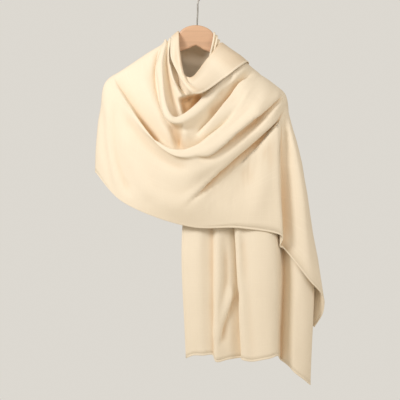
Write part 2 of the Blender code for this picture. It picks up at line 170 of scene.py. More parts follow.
# The folds of the front drape, from the neck to the hem. Columns: name, share of the scarf's width, 1 for a
# ridge or -1 for a valley on the hidden sides, and the fold's places at the left shoulder's crest (x, z),
# between that and its lowest point (x, z, forward), at its lowest point, between that and the right shoulder,
# and at the right shoulder's crest (x, z).
FOLDS = (
    ("flap_edge", 0.00, 0, (-60, -28), (-58, -85, 42), (-5, -166, 99), (64, -128, 66), (122, -88)),
    ("flap_belly", 0.02, 0, (-52, -20), (-48, -85, 47), (-8, -160, 103), (52, -117, 65), (106, -74)),
    ("neck_roll", 0.05, 0, (-44, -15), (-39, -84, 43), (-13, -147, 96), (41, -106, 61), (90, -63)),
    ("roll_back", 0.08, 0, (-46, -21), (-42, -88, 34), (-14, -141, 88), (31, -96, 55), (74, -52)),
    ("neck_rim", 0.12, 0, (-50, -26), (-45, -93, 29), (-15, -127, 78), (22, -85, 48), (60, -42)),
    ("under_flap", 0.17, 1, (-55, -32), (-52, -102, 23), (-21, -168, 66), (26, -95, 40), (65, -51)),
    ("small_ridge", 0.22, 0, (-65, -30), (-65, -94, 41), (-23, -184, 83), (33, -104, 47), (76, -59)),
    ("upper_pocket", 0.28, -1, (-70, -40), (-71, -101, 26), (-34, -232, 81), (43, -118, 44), (88, -68)),
    ("upper_wall", 0.33, 0, (-72, -37), (-77, -99, 36), (-52, -230, 97), (50, -128, 52), (98, -76)),
    ("upper_rim", 0.36, 1, (-74, -34), (-83, -102, 46), (-54, -221, 108), (57, -134, 58), (114, -88)),
    ("upper_belly", 0.39, 1, (-77, -35), (-89, -109, 45), (-52, -234, 115), (71, -147, 66), (126, -97)),
    ("upper_foot", 0.44, -1, (-79, -40), (-93, -118, 34), (-47, -247, 103), (80, -182, 56), (134, -104)),
    ("shoulder_face", 0.49, 1, (-128, -73), (-121, -144, 48), (-45, -274, 94), (90, -194, 68), (144, -111)),
    ("lower_pocket", 0.56, -1, (-196, -118), (-155, -187, 38), (-45, -320, 84), (95, -200, 74), (150, -117)),
    ("lower_wall", 0.61, 0, (-199, -119), (-158, -189, 46), (-51, -305, 104), (99, -206, 78), (157, -122)),
    ("lower_rim", 0.64, 1, (-202, -121), (-161, -190, 53), (-52, -301, 118), (106, -214, 82), (168, -129)),
    ("lower_belly", 0.68, 1, (-208, -125), (-166, -199, 55), (-44, -313, 124), (120, -234, 84), (187, -143)),
    ("high_valley", 0.72, -1, (-219, -138), (-171, -225, 56), (-14, -322, 117), (124, -244, 66), (208, -161)),
    ("band_ridge", 0.76, 1, (-225, -158), (-177, -270, 59), (-8, -352, 115), (132, -261, 82), (214, -175)),
    ("low_valley", 0.81, -1, (-228, -194), (-181, -317, 60), (-22, -394, 103), (138, -281, 68), (212, -194)),
    ("panel_top", 0.86, 0, (-235, -232), (-182, -355, 61), (-21, -428, 100), (127, -305, 78), None),
    ("panel_middle", 0.93, 1, (-240, -289), (-181, -388, 62), (-19, -454, 90), (116, -409, 81), None),
    ("panel_hem", 1.00, 0, (-242, -350), (-177, -419, 62), (-17, -479, 79), (102, -482, 78), None),
)
# How the last folds go round the right arm, each place as (x, z, forward): the edge of the front panel, the
# return behind it, the bottom of the trough, the swell on the arm, the arm's outline, and the back half way
# down and at the end hem.
ARM_TURN = {
    "panel_top": (
        (190, -233, 59),
        (197, -235, 48),
        (203, -238, 37),
        (221, -248, 41),
        (227, -250, 6),
        (250, -470, -40),
        (256, -708, -54),
    ),
    "panel_middle": (
        (191, -383, 62),
        (195, -385, 51),
        (204, -388, 39),
        (250, -393, 45),
        (260, -395, 8),
        (273, -560, -18),
        (270, -712, -30),
    ),
    "panel_hem": (
        (202, -503, 63),
        (196, -526, 52),
        (204, -530, 39),
        (266, -606, 43),
        (299, -646, 24),
        (300, -683, 8),
        (279, -718, -6),
    ),
}
# The same folds in the front tail, from its inner edge to the outer one. Columns: name, x and forward at the
# front drape's hem, and x, z and forward at the end hem.
TAIL_FOLDS = (
    ("inner_edge", (-34, 56), (-26, -790, 50)),
    ("first_face", (-17, 61), (-9, -783, 56)),
    ("first_ridge", (7, 65), (14, -783, 60)),
    ("first_valley", (34, 56), (37, -782, 53)),
    ("second_ridge", (47, 66), (45, -798, 61)),
    ("second_face", (73, 57), (73, -793, 52)),
    ("pleat_bottom", (98, 44), (104, -789, 42)),
    ("pleat_inside", (93, 52), (110, -790, 50)),
    ("pleat_edge", (88, 65), (105, -792, 62)),
    ("pleat_lip", (96, 70), (114, -795, 68)),
    ("soft_valley", (109, 66), (130, -797, 68)),
    ("third_ridge", (139, 70), (154, -793, 71)),
    ("third_face", (168, 66), (174, -789, 69)),
    ("channel_lip", (183, 57), (188, -784, 61)),
    ("channel_wall", (191, 36), (193, -786, 37)),
    ("channel", (199, 10), (200, -797, 10)),
    ("outer_wall", (209, 20), (210, -804, 21)),
    ("outer_lip", (217, 31), (218, -811, 30)),
    ("outer_ridge", (229, 35), (230, -824, 38)),
    ("outer_face", (250, 32), (251, -840, 32)),
    ("outer_side", (268, 17), (269, -855, 15)),
    ("outer_back", (262, -6), (260, -842, -5)),
    ("outer_edge", (225, -14), (222, -811, -12)),
)
DRAPE_HEM = -482.0  # height of the front drape's hem where the front tail comes out below it
# How the scarf lies on the hanger's arms. Each line is a place beside one of a fold's crests, with a pair for
# the scarf's neck side and its hem side: x and z from the crest, and forward; then how much further forward a
# ridge lies, and the part that is turned over at the neck.
LEFT_ARM = {
    "behind": ((8, 12), (-32, 0), (-32, -32), 0, -8),
    "back_edge": ((0, 4), (-7, 0), (-13, -13), 0, -2),
    "crest": ((0, 0), (0, 0), (0, 0), 0, 0),
    "front_edge": ((0, 3), (-8, -2), (13, 13), 0, 0),
}
LEFT_TURN = (0.6, 0.9)  # shares of the width between which the neck side's form becomes the hem side's
RIGHT_ARM = {
    "crest": ((0, -5), (0, -6), (0, 26), 0, 0),
    "back_edge": ((1, 1), (-9, 0), (-26, 12), 0, -2),
    "behind": ((2, 6), (-50, -8), (-60, -5), 3, -9),
}
RIGHT_TURN = (0.68, 0.86)
# The way from a fold's right middle to its right crest: share of it, rise above the straight line on the neck
# side and the hem side, and share of the forward distance that is left there.
UP_TO_RIGHT_ARM = ((0.45, (2, -10), 0.86), (0.82, (3, -5), 0.50))
# Places on the back in the same columns, but from the middle of the wood's top.
BACK_RIGHT = ((18, 120), (-43, -300), (-34, -34), 2, -5)
BACK_MIDDLE = ((-25, -45), (-36, -420), (-48, -48), 8, -12)
BACK_MIDDLE_TURNED = -14  # how much lower the turned-over edge lies there
BACK_HALF_WAY = (0.6, -400, -80, 10, -24)  # share of the way to the end hem's x, z, forward, ridge, turned
BACK_END = (-700, -84, 14, -26)  # z, forward, ridge, turned
BACK_END_X = (84, 14, 275)  # x of the end hem at the turned-over edge, at the fold line and at the outer edge
BACK_END_STEP = 5  # how much higher a ridge's hem lies there
# The first stretch over the right arm: x there at both edges of the scarf, then z from the wood's top and
# forward on its way over, then x and z at both edges where it lies spread below the arm.
FIRST_ARM_X = (39, 140)
FIRST_ARM = ((-10, 11), (0, 1), (-3, -9))
FIRST_SPREAD_X = (-34, 268)
FIRST_BELOW_Z = (-150, -230)
FIRST_BELOW = (0.35, 20, 0.25)  # share of the spread reached there, forward at the wood, share of the way out
# Shares of the width: it starts to stand up, stands fully, starts to fall, and lies down again.
BUNCH_SHARES = (0.0, 0.05, 0.1, 0.2)
# The wood's top line before it leans: from the middle outwards, and height.
WOOD_LINE = (
    (0, 0),
    (18, -3),
    (32, -10),
    (41, -20),
    (50, -39),
    (70, -57),
    (100, -79),
    (160, -125),
    (202, -156),
)

# Points from one station to the next, along the two pieces of the scarf, and from one fold to the next.
TAIL_ROWS = (24, 22, 10, 4)
LONG_ROWS = (4, 9, 10, 9, 5, 5, 6, 34, 42, 36, 18, 8, 8, 8, 9, 20, 20)
ACROSS = (4, 5, 5, 6, 7, 10, 12, 7, 6, 5, 9, 14, 9, 7, 6, 7, 8, 7, 7, 6, 5, 5)

# Creases laid on the folds, in millimetres. Columns: name, the stations between which the cloth takes
# it, half its width, how far it stands out of the cloth, less than 0 for a trough, and its course as (x, z).
# Stations count the folds' places along the scarf, from 0 at the front tail's hem to 21 at the other end hem,
# and -1 and 22 keep a crease as it is up to a hem.
SOFT_CREASES = (
    ("shoulder_pull", 10, 12.2, 14, -2.0, ((-120, -75), (-112, -140), (-92, -210))),
    ("left_outer", 10, 12.5, 9, -3.0, ((-227, -189), (-222, -262), (-210, -345), (-191, -409))),
    ("left_outer_ridge", 10, 12.5, 9, 2.5, ((-213, -175), (-209, -262), (-198, -345), (-175, -405))),
    ("left_valley", 10, 12.6, 11, -4.0, ((-199, -165), (-197, -262), (-182, -350), (-149, -420))),
    ("left_swell", 10.4, 12.8, 17, 3.5, ((-175, -240), (-158, -310), (-132, -366), (-104, -425))),
    (
        "left_under_roll", 10.4, 13.6, 15, -4.5,
        ((-190, -180), (-150, -243), (-108, -296), (-58, -333), (-2, -344)),
    ),
    ("rim_under", 11.2, 13.4, 6, -5.0, ((-187, -163), (-158, -197), (-130, -231), (-104, -265), (-86, -287))),
    ("rim_lip", 12.0, 13.3, 4, 2.5, ((-92, -266), (-70, -292), (-50, -301), (-28, -297))),
    ("upper_rim_under", 11.5, 13.4, 8, -3.5, ((-90, -215), (-62, -243), (-34, -250), (10, -246))),
    ("belly_valley", 12.8, 15.6, 13, -6.0, ((98, -128), (62, -172), (22, -226))),
    ("belly_pull", 12.8, 15.4, 9, -4.0, ((86, -116), (64, -150), (52, -178))),
    ("cowl_pull", 13.0, 15.6, 16, -2.5, ((160, -150), (110, -205), (60, -262))),
    ("panel_hollow", 12.6, 15.6, 42, -8.0, ((0, -425), (100, -352), (196, -262))),
    ("low_valley_end", 12.5, 15.5, 17, -1.5, ((140, -325), (104, -385), (62, -446))),
    ("panel_valley", 13, 15.5, 20, -1.5, ((132, -325), (118, -390), (78, -450))),
    ("panel_swell", 13, 15.5, 18, 3.0, ((168, -330), (150, -400), (128, -470))),
    # On the front tail, and on the stretch over the right arm.
    ("tail_valley", -1, 1.6, 9, -5.0, ((66, -500), (70, -600), (58, -690), (52, -770))),
    ("tail_face", -1, 1.6, 16, 2.0, ((-12, -500), (-6, -640), (-2, -780))),
    ("tail_short", -1, 1.6, 12, -2.5, ((104, -500), (108, -560), (104, -640))),
    ("tail_side", -1, 1.6, 14, -2.0, ((245, -640), (240, -740), (243, -830))),
    ("arm_swell", 16.6, 19.4, 20, 3.0, ((236, -230), (247, -340), (262, -470))),
    ("arm_trough", 16.4, 18.7, 13, -3.0, ((208, -235), (211, -330), (215, -430), (222, -535))),
    ("arm_valley", 16.6, 19.4, 14, -3.0, ((252, -330), (268, -430), (287, -560))),
    # On the hidden sides.
    ("back_pull", 5.4, 8.6, 18, -5.0, ((150, -190), (60, -215), (-60, -200), (-170, -150))),
    ("back_fold", 5.4, 8.6, 16, 4.0, ((160, -230), (60, -262), (-70, -250), (-190, -180))),
    ("back_low", 5.6, 8.8, 20, -5.0, ((120, -330), (0, -372), (-120, -330), (-210, -250))),
    ("back_short", 6.2, 8.6, 13, 3.0, ((-10, -300), (-90, -290), (-170, -235))),
    ("back_drop", 18.4, 22, 16, -4.0, ((120, -200), (128, -380), (120, -560), (132, -700))),
    ("back_drop_ridge", 18.4, 22, 18, 4.0, ((160, -230), (172, -400), (166, -560), (178, -705))),
    ("back_drop_short", 18.6, 22, 13, -3.0, ((205, -300), (214, -430), (226, -560))),
    ("back_drop_inner", 18.6, 22, 12, 3.0, ((80, -160), (72, -320), (60, -480), (54, -650))),
)
# Folds that lie over the cloth beside them. Columns: name, the first and last station, half its width, how
# far the upper layer stands out, how far it laps over, how far its edge is spread, and the course of its
# edge, with the upper layer on the left.
LAPPED_FOLDS = (
    (
        "shoulder_fold", 12.6, 16.9, 12, 6.5, 6.5, 1.8,
        ((-12, -312), (20, -309), (53, -287), (95, -252), (142, -213), (192, -171), (209, -159)),
    ),
    (
        "lower_fold", 12.0, 16.9, 12, 5.5, 5.0, 2.0,
        ((-54, -450), (2, -396), (50, -351), (98, -308), (146, -266), (188, -222), (210, -196)),
    ),
    (
        "upper_fold", 12.8, 16.9, 19, 11.0, 8.5, 2.2,
        ((132, -112), (114, -140), (85, -177), (60, -208), (38, -232), (15, -255), (-8, -278)),
    ),
    (
        "cowl_strip", 11.6, 13.6, 13, 3.6, 2.5, 1.5,
        ((-31, -232), (-32, -262), (-38, -300)),
    ),
    (
        "left_edge", 9.6, 13.3, 8, 5.5, 3.5, 1.6,
        ((-71, -33), (-88, -62), (-94, -99), (-94, -144), (-83, -189), (-66, -227), (-44, -250)),
    ),
    (
        "flap_left", 9.6, 13.0, 5, 4.0, 2.5, 1.2,
        ((-61, -24), (-61, -80), (-57, -97), (-50, -125), (-38, -149), (-24, -165)),
    ),
    (
        "strip_edge", 10.2, 13.0, 4, 2.6, 1.5, 1.0,
        ((-66, -80), (-62, -113), (-54, -139), (-36, -163)),
    ),
    (
        "roll_groove", 9.8, 13.4, 5, 3.5, 2.0, 1.4,
        ((14, -158), (-12, -153), (-26, -140), (-37, -118), (-44, -85), (-48, -30)),
    ),
    (
        "front_panel_edge", 14.6, 17.2, 14, 2.0, 3.0, 5.0,
        ((204, -505), (197, -420), (193, -320), (190, -215)),
    ),
    (
        "tail_diagonal", -1, 1.5, 17, 6.0, 3.5, 4.2,
        ((52, -765), (61, -712), (78, -660), (94, -612)),
    ),
)
# Pockets under the folds at the neck. Columns: name, the first and last station, the first and last share of
# the scarf's width, the middle (x, z), half the width and height, how many degrees it leans to the left, the
# depth, and how square its form is: 2 is round.
POCKETS = (
    ("under_flap", 11.8, 14.2, 0.145, 0.31, (-11, -190), (27, 21), 16.0, 30.0, 8.0),
    ("under_upper_rim", 11.5, 14.2, 0.41, 0.62, (-48, -266), (13, 40), 18.0, 17.0, 2.6),
)
# The first stretch stands in small pleats where it goes over the right arm. Columns: share of the scarf's
# width, and height.
ARM_PLEATS = ((0.02, 2.5), (0.045, -3.0), (0.07, 3.0), (0.10, -3.0), (0.13, 2.5), (0.17, -2.0))
PLEAT_WIDTH = 0.012  # share of the scarf's width
PLEAT_STATIONS = (2.3, 4.6)  # the stations between which they stand
# The slight unevenness of washed linen: the length of its waves across and along the cloth, and their height.
CRUMPLES = ((95, 160, 1.3), (38, 60, 0.55), (17, 26, 0.18))
CRUMPLE_LAYER = 7.0  # how far apart in the noise the waves of different lengths are read


def blend(a, b, share):
    return a + (b - a) * share


def smooth(low, high, value):
    t = np.clip((value - low) / (high - low), 0.0, 1.0)
    return t * t * (3 - 2 * t)


def place(points):
    """Points (x, z, forward) in millimetres as world coordinates in metres."""
    points = np.asarray(points, float)
    x = points[..., 0] - HOOK_X
    z = points[..., 1] - HOOK_RISE
    return np.stack([x, -points[..., 2], z], axis=-1) * MM


def spline(knots, steps):
    """Points on centripetal Catmull-Rom curves. knots[i, j] is the i-th point that the j-th curve goes
    through, and steps[i] the number of points from there to the next. The last knot comes after them."""
    knots = np.asarray(knots, float)
    before = 2 * knots[0] - knots[1]
    after = 2 * knots[-1] - knots[-2]
    knots = np.concatenate([before[None], knots, after[None]])
    rows = []
    for i, count in enumerate(steps):
        p0, p1, p2, p3 = knots[i : i + 4]
        gap1, gap2, gap3 = (
            np.linalg.norm(b - a, axis=-1, keepdims=True) for a, b in ((p0, p1), (p1, p2), (p2, p3))
        )
        t1 = np.maximum(gap1, LEAST_GAP) ** 0.5
        t2 = t1 + np.maximum(gap2, LEAST_GAP) ** 0.5
        t3 = t2 + np.maximum(gap3, LEAST_GAP) ** 0.5
        for k in range(count):
            t = blend(t1, t2, k / count)
            a1 = blend(p0, p1, t / t1)
            a2 = blend(p1, p2, (t - t1) / (t2 - t1))
            a3 = blend(p2, p3, (t - t2) / (t3 - t2))
            b1 = blend(a1, a2, t / t2)
            b2 = blend(a2, a3, (t - t1) / (t3 - t1))
            rows.append(blend(b1, b2, (t - t1) / (t2 - t1)))
    rows.append(knots[-2])
    return np.array(rows)


def lean(x, z):
    """A point of the hanger, turned about the middle of the wood's top."""
    angle = math.radians(LEAN_DEG)
    return x * math.cos(angle) + z * math.sin(angle), z * math.cos(angle) - x * math.sin(angle)


def wood_top(x):
    """Height of the leaning hanger's top line at x."""
    line = sorted(lean(side * out, top) for side in (-1, 1) for out, top in WOOD_LINE)
    return float(np.interp(x, [p[0] for p in line], [p[1] for p in line]))


def neck_turn(share, fold_line):
    """How far out a fold is on the part turned over at the neck, and how far down on the rest."""
    return max(1 - share / fold_line, 0), max(share - fold_line, 0) / (1 - fold_line)


def on_right_arm(share):
    """The place on the hanger's right arm that the first stretch goes over, gathered under the drape."""
    x = blend(*FIRST_ARM_X, share)
    start, full, fall, end = BUNCH_SHARES
    bunched = smooth(start, full, share) * (1 - smooth(fall, end, share))
    return x, wood_top(x) + CROWN + BUNCH * bunched


def beside(anchor, line, share, kind, turned):
    """A place beside a point (x, z), from one line of the tables of the hanger's arms."""
    across, up, forward, ridge, turned_out = line
    x, z = anchor
    out = blend(*forward, share) + ridge * kind + turned_out * turned
    return x + blend(*across, share), z + blend(*up, share), out


def up_the_front(share, end, drape_hem):
    """The places of a fold of the front tail, from its end hem up to the hanger's right arm."""
    x, z = on_right_arm(share)
    hem_x, hem_forward = drape_hem
    spread, at_wood, out = FIRST_BELOW
    below_x = blend(x, blend(*FIRST_SPREAD_X, share), spread)
    below = (below_x, blend(*FIRST_BELOW_Z, share), blend(at_wood, hem_forward, out))
    front, top, _ = FIRST_ARM
    return [end, (hem_x, DRAPE_HEM, hem_forward), below, (x, z + front[0], front[1]), (x, z + top[0], top[1])]


def behind_neck(share, kind, left_crest):
    """The places of a fold from the right arm, round the back, to the left arm."""
    arm_x, arm_z = on_right_arm(share)
    drop, behind = FIRST_ARM[-1]
    beside_wood = smooth(*LEFT_TURN, share)
    turned, down = neck_turn(share, ROLL_SHARE)
    right = beside((0, 0), BACK_RIGHT, share, kind, turned)
    x, _, forward = beside((0, 0), BACK_MIDDLE, share, kind, turned)
    z = blend(*BACK_MIDDLE[1], down) + BACK_MIDDLE_TURNED * turned
    left = [beside(left_crest, LEFT_ARM[name], beside_wood, kind, turned) for name in ("behind", "back_edge")]
    return [(arm_x, arm_z + drop, behind), right, (x, z, forward), *left]


def across_the_front(share, left_crest, left_middle, lowest, right_middle):
    """The places of a fold from the left arm to the right half of the front."""
    beside_wood = smooth(*LEFT_TURN, share)
    left = [beside(left_crest, LEFT_ARM[name], beside_wood, 0, 0) for name in ("crest", "front_edge")]
    return [*left, left_middle, lowest, right_middle]


def over_right_arm(share, kind, right_middle, right_crest):
    """The places of an upper fold from the front, over the right arm and down the back to the end hem."""
    x, z = right_crest
    mid_x, mid_z, forward = right_middle
    turned, down = neck_turn(share, BAND_SHARE)
    lower = smooth(*RIGHT_TURN, share)
    up = []
    for part, rise, left in UP_TO_RIGHT_ARM:
        up.append((blend(mid_x, x, part), blend(mid_z, z, part) + blend(*rise, lower), forward * left))
    over = [beside(right_crest, line, lower, kind, turned) for line in RIGHT_ARM.values()]
    turned_x, fold_x, outer_x = BACK_END_X
    end_x = fold_x + (turned_x - fold_x) * turned + (outer_x - fold_x) * down
    part, half_z, half_forward, half_ridge, half_turned = BACK_HALF_WAY
    half = (blend(x, end_x, part), half_z, half_forward + half_ridge * kind + half_turned * turned)
    end_z, end_forward, end_ridge, end_turned = BACK_END
    end = (end_x, end_z + BACK_END_STEP * kind, end_forward + end_ridge * kind + end_turned * turned)
    return [*up, *over, half, end]


def scarf_places():
    """The places of the folds, by station and fold, from the front tail's hem to the shoulder tail's."""
    folds = []
    for fold, tail in zip(FOLDS, TAIL_FOLDS):
        name, share, kind, left_crest, left_middle, lowest, right_middle, right_crest = fold
        _, drape_hem, end = tail
        stations = up_the_front(share, end, drape_hem)
        stations += behind_neck(share, kind, left_crest)
        stations += across_the_front(share, left_crest, left_middle, lowest, right_middle)
        if right_crest:
            stations += over_right_arm(share, kind, right_middle, right_crest)
        else:
            stations += ARM_TURN[name]
        folds.append(stations)
    return np.array(folds, float).transpose(1, 0, 2)


def course(points, steps=24):
    """Points along a crease, and the direction to its right at each of them."""
    line = spline(np.array(points, float)[:, None], [steps] * (len(points) - 1))[:, 0]
    along = np.gradient(line, axis=0)
    right = np.stack([along[:, 1], -along[:, 0]], axis=-1)
    return line, right / np.linalg.norm(right, axis=-1, keepdims=True)


def near_course(points, sheet):
    """For each point of the sheet, its distance to the right of a crease, the direction of that, and how much
    of the crease it feels: all of it in the middle, and nothing past its ends."""
    line, right = course(points)
    flat = sheet[..., :2]
    nearest = np.zeros(flat.shape[:2], int)
    best = np.full(flat.shape[:2], np.inf)
    for i, point in enumerate(line):
        gap = ((flat - point) ** 2).sum(axis=-1)
        closer = gap < best
        best[closer] = gap[closer]
        nearest[closer] = i
    away = flat - line[nearest]
    distance = (away * right[nearest]).sum(axis=-1)
    share = nearest / (len(line) - 1)
    felt = smooth(0.0, CREASE_ENDS, share) * smooth(0.0, CREASE_ENDS, 1 - share)
    past_end = np.sqrt(np.maximum(best - distance**2, 0))
    return distance, right[nearest], felt * (1 - smooth(0, PAST_END, past_end))


def fade(value, first, last, edge):
    """1 between two places and 0 outside them, with a soft edge on each side of both."""
    return smooth(first - edge, first + edge, value) * (1 - smooth(last - edge, last + edge, value))


def between(stations, first, last):
    """How much each row of the sheet takes part in a crease that lies between two stations."""
    return fade(stations, first, last, STATION_EDGE)[:, None]


def sheet_normals(sheet):
    """The unit normals of a grid of points, out of the face that looks forward on the front drape."""
    along = np.gradient(sheet, axis=0)
    across = np.gradient(sheet, axis=1)
    normals = np.cross(across, along)
    return normals / np.maximum(np.linalg.norm(normals, axis=-1, keepdims=True), LEAST_NORMAL)


def column_shares():
    """The share of the scarf's width at each column of the sheet."""
    shares = [fold[1] for fold in FOLDS]
    steps = [np.linspace(a, b, count, endpoint=False) for a, b, count in zip(shares, shares[1:], ACROSS)]
    return np.append(np.concatenate(steps), 1.0)


def soft_creases(sheet, stations):
    """How far the soft creases raise each point of the sheet."""
    raised = np.zeros(sheet.shape[:2])
    for _, first, last, width, height, points in SOFT_CREASES:
        distance, _, felt = near_course(points, sheet)
        felt = felt * between(stations, first, last)
        raised += height * felt * np.exp(-((distance / width) ** 2))
    return raised


def lapped_folds(sheet, stations):
    """How far the lapped folds raise each point of the sheet, and how far they move it to the side."""
    raised = np.zeros(sheet.shape[:2])
    aside = np.zeros_like(sheet)
    for _, first, last, width, height, lap, edge, points in LAPPED_FOLDS:
        distance, right, felt = near_course(points, sheet)
        felt = felt * between(stations, first, last)
        spread = edge * (1 + END_SOFTNESS * (1 - felt))
        raised -= height * felt * np.tanh(distance / spread) * np.exp(-((distance / width) ** 2))
        shift = lap * felt * np.exp(-((distance + edge) ** 2) / (width * edge))
        aside[..., :2] += right * shift[..., None]
    return raised, aside


def pocket_depths(sheet, stations):
    """How deep the pockets at the neck are at each point of the sheet."""
    shares = column_shares()
    sunk = np.zeros(sheet.shape[:2])
    for _, first, last, upper, lower, middle, size, lean_deg, depth, squareness in POCKETS:
        cos, sin = math.cos(math.radians(lean_deg)), math.sin(math.radians(lean_deg))
        away = (sheet[..., :2] - np.array(middle)) @ np.array(((cos, -sin), (sin, cos)))
        away = (np.abs(away / np.array(size)) ** squareness).sum(axis=-1)
        inside = fade(shares, upper, lower, POCKET_EDGE)
        sunk += depth * np.exp(-away) * between(stations, first, last) * inside
    return sunk


def arm_pleats(stations):
    """How far the small pleats on the right arm raise each point of the sheet."""
    shares = column_shares()
    pleats = sum(height * np.exp(-(((shares - middle) / PLEAT_WIDTH) ** 2)) for middle, height in ARM_PLEATS)
    return pleats * between(stations, *PLEAT_STATIONS)


def crumple(sheet):
    """How far the cloth's slight unevenness raises each point of the sheet."""
    flat = cloth_map(sheet)
    heights = np.zeros(flat.shape[:2])
    for k, (across, along, height) in enumerate(CRUMPLES):
        for cell in np.ndindex(heights.shape):
            u, v = flat[cell]
            spot = Vector((u / (across * MM), v / (along * MM), CRUMPLE_LAYER * k))
            heights[cell] += height * noise.noise(spot)
    return heights


def crease(sheet, stations):
    """The sheet with its creases, pockets and slight crumple pressed in, and the depth of its pockets."""
    lapped, aside = lapped_folds(sheet, stations)
    raised = soft_creases(sheet, stations) + lapped + arm_pleats(stations) + crumple(sheet)
    sunk = pocket_depths(sheet, stations)
    aside[..., 2] -= sunk
    return sheet + sheet_normals(sheet) * raised[..., None] + aside, sunk


def scarf_sheet():
    """The grid of the whole scarf's points, and how deep the pockets are at each."""
    counts = TAIL_ROWS + LONG_ROWS
    rows = spline(scarf_places(), counts)
    sheet = spline(rows.transpose(1, 0, 2), ACROSS).transpose(1, 0, 2)
    stations = [i + np.arange(count) / count for i, count in enumerate(counts)]
    return crease(sheet, np.append(np.concatenate(stations), len(counts)))


def painted_shade_share(sheet, normals, sunk):
    """How far each point lies in a hollow of the cloth's outer face or in a pocket, from 0 to 1: how much
    golden shade is painted into the linen there.
    """
    broad = sheet.copy()
    deepest = sunk / POCKET_SHADE_DEPTH
    done = 0
    for times, depth in SHADED_HOLLOWS:
        for _ in range(times - done):
            broad[1:-1] = (broad[:-2] + broad[1:-1] + broad[2:]) / 3
            broad[:, 1:-1] = (broad[:, :-2] + broad[:, 1:-1] + broad[:, 2:]) / 3
        done = times
        deepest = np.maximum(deepest, ((broad - sheet) * normals).sum(axis=-1) / depth)
    return np.clip(deepest, 0, 1) ** DEEPER


def cloth_map(sheet):
    """Where each point lies on the flat scarf: across it and along it, in metres."""
    across = column_shares() * CUT[0]
    lengths = np.linalg.norm(np.diff(sheet, axis=0), axis=2).mean(axis=1)
    along = np.concatenate([[0], np.cumsum(lengths)])
    along *= CUT[1] / along[-1]
    return np.stack(np.meshgrid(across, along), axis=-1)


def add_piece(name, mesh):
    """A smooth object of a mesh, at the origin."""
    mesh.shade_smooth()
    piece = bpy.data.objects.new(name, mesh)
    bpy.context.scene.collection.objects.link(piece)
    return piece


def grid_object(name, points, uv, joined=False, hollow=None):
    """A sheet on a grid of points in millimetres, with the cloth's own widths and lengths as its UV map. A
    joined one is closed to a tube, with its ends filled."""
    rows, columns = points.shape[:2]
    mesh = bpy.data.meshes.new(name)
    grid = bmesh.new()
    half = 0.5
    bmesh.ops.create_grid(grid, x_segments=columns - 1, y_segments=rows - 1, size=half)
    cells = []
    for vertex in grid.verts:
        column = round((vertex.co.x + half) * (columns - 1))
        row = round((vertex.co.y + half) * (rows - 1))
        cells.append((row, column))
    world = place(points)
    layer = grid.loops.layers.uv.new(CLOTH_MAP)
    for face in grid.faces:
        for loop in face.loops:
            loop[layer].uv = uv[cells[loop.vert.index]]
    # Each point carries how much golden shade is painted into it.
    depth = grid.verts.layers.float.new(PAINTED_SHADE_ATTRIBUTE)
    for vertex, cell in zip(grid.verts, cells):
        vertex.co = world[cell]
        vertex[depth] = 0.0 if hollow is None else hollow[cell]
    if joined:
        bmesh.ops.remove_doubles(grid, verts=grid.verts, dist=MERGE_GAP)
        bmesh.ops.holes_fill(grid, edges=grid.edges, sides=columns)
        bmesh.ops.recalc_face_normals(grid, faces=grid.faces)
    grid.to_mesh(mesh)
    grid.free()
    return add_piece(name, mesh)


def add_wall(piece, thickness):
    wall = piece.modifiers.new("wall", "SOLIDIFY")
    wall.thickness = thickness
    wall.offset = 0.0


def reach(line):
    """How far along a line each of its points is."""
    return np.concatenate([[0], np.cumsum(np.linalg.norm(np.diff(line, axis=0), axis=1))])


def add_hem(name, edge, inner, normals, uv):
    """A narrow hem folded over one edge of the sheet: a flat tube with the edge inside it. The direction from
    each point of the edge into the cloth comes with it."""
    inwards = inner - edge
    inwards -= (inwards * normals).sum(axis=-1, keepdims=True) * normals
    inwards /= np.linalg.norm(inwards, axis=-1, keepdims=True)
    section = np.array(HEM_SECTION)
    ring = np.vstack([section, section[:1]])
    points = edge[:, None] + inwards[:, None] * ring[None, :, :1] + normals[:, None] * ring[None, :, 1:]
    around = reach(ring) * MM
    places = uv[:, None] + around[None, :, None] * np.array([1.0, 0.0])
    return grid_object(name, points, places, joined=True), inwards


def along_line(line, values, at):
    """The values of a line's points, read at some distances along it."""
    known = reach(line)
    return np.stack([np.interp(at, known, column) for column in values.T], axis=-1)


def world_way(way):
    """A direction (x, z, forward) in the world's axes."""
    x, z, forward = way
    return Vector((x, -forward, z)).normalized()


def stitch_matrix(centre, way, out):
    """What makes a stitch of a ball: its place, its turn and its length, width and depth."""
    x_axis = world_way(way)
    y_axis = world_way(out).cross(x_axis).normalized()
    turn = Matrix((x_axis, y_axis, x_axis.cross(y_axis))).transposed().to_4x4()
    size = Matrix.Diagonal((*(side * MM / 2 for side in STITCH), 1.0))
    return Matrix.Translation(Vector(centre)) @ turn @ size


def add_stitches(name, edges):
    """Straight machine stitches along the hems, each one a thread that shows on both faces."""
    mesh = bpy.data.meshes.new(name)
    threads = bmesh.new()
    run_mesh = bpy.data.meshes.new("run")
    for edge, inwards, normals in edges:
        line = edge + inwards * STITCH_INSET
        at = np.arange(STITCH_PITCH, reach(line)[-1] - STITCH_PITCH, STITCH_PITCH)
        centres = place(along_line(line, line, at))
        ways = along_line(line, line, at + STITCH_AIM) - along_line(line, line, at - STITCH_AIM)
        outs = along_line(line, normals, at)
        for start in range(0, len(at), STITCH_RUN):
            run = bmesh.new()
            for i in range(start, min(start + STITCH_RUN, len(at))):
                matrix = stitch_matrix(centres[i], ways[i], outs[i])
                bmesh.ops.create_icosphere(run, subdivisions=1, radius=1.0, matrix=matrix)
            run.to_mesh(run_mesh)
            run.free()
            threads.from_mesh(run_mesh)
    threads.to_mesh(mesh)
    threads.free()
    bpy.data.meshes.remove(run_mesh)
    return add_piece(name, mesh)


